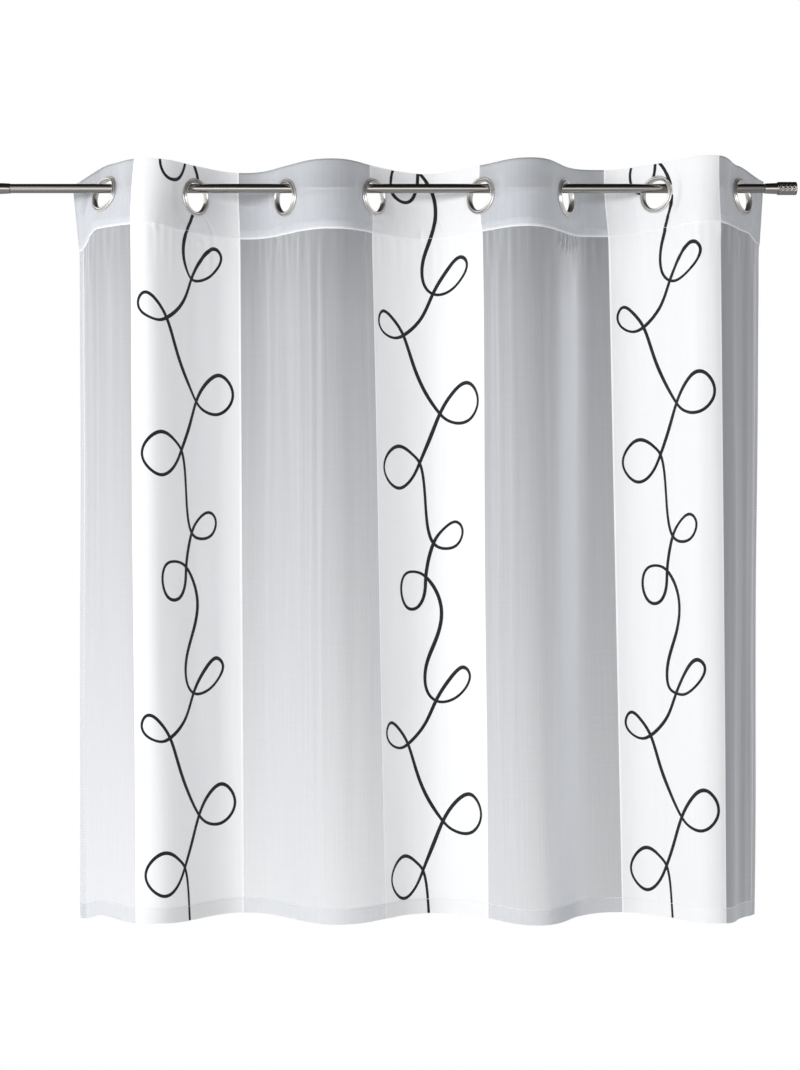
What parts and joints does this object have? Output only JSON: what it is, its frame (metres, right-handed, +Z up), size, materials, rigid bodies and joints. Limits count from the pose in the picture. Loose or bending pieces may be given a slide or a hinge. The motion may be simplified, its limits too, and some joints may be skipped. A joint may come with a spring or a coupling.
{
  "type": "sheer voile curtain on a curtain rod",
  "caption": "Sheer voile curtain with woven opaque stripes, hung in soft waves by metal eyelets on a thin steel rod with knurled end caps.",
  "frame": {"origin": "on the rod's axis at the middle of its length", "axes": "+X along the rod, to the right seen from the room; +Y towards the wall or window; +Z up"},
  "size_m": [1.147, 0.1406, 1.0662],
  "materials": {
    "voile": "sheer plain-weave voile with denser white stripes",
    "doubled_voile": "two layers of voile sewn together",
    "nickel_eyelet": "pressed and nickel plated",
    "brushed_rod": "brushed along the tube",
    "knurled_cap": "turned and diamond knurled"
  },
  "bodies": {
    "root": {"panel": "voile", "heading_band": "doubled_voile", "eyelet_1_front": "nickel_eyelet", "eyelet_1_back": "nickel_eyelet", "eyelet_2_front": "nickel_eyelet", "eyelet_2_back": "nickel_eyelet", "eyelet_3_front": "nickel_eyelet", "eyelet_3_back": "nickel_eyelet", "eyelet_4_front": "nickel_eyelet", "eyelet_4_back": "nickel_eyelet", "eyelet_5_front": "nickel_eyelet", "eyelet_5_back": "nickel_eyelet", "eyelet_6_front": "nickel_eyelet", "eyelet_6_back": "nickel_eyelet", "eyelet_7_front": "nickel_eyelet", "eyelet_7_back": "nickel_eyelet", "eyelet_8_front": "nickel_eyelet", "eyelet_8_back": "nickel_eyelet", "rod": "brushed_rod", "end_cap_left": "knurled_cap", "end_cap_right": "knurled_cap"}
  },
  "joints": []
}
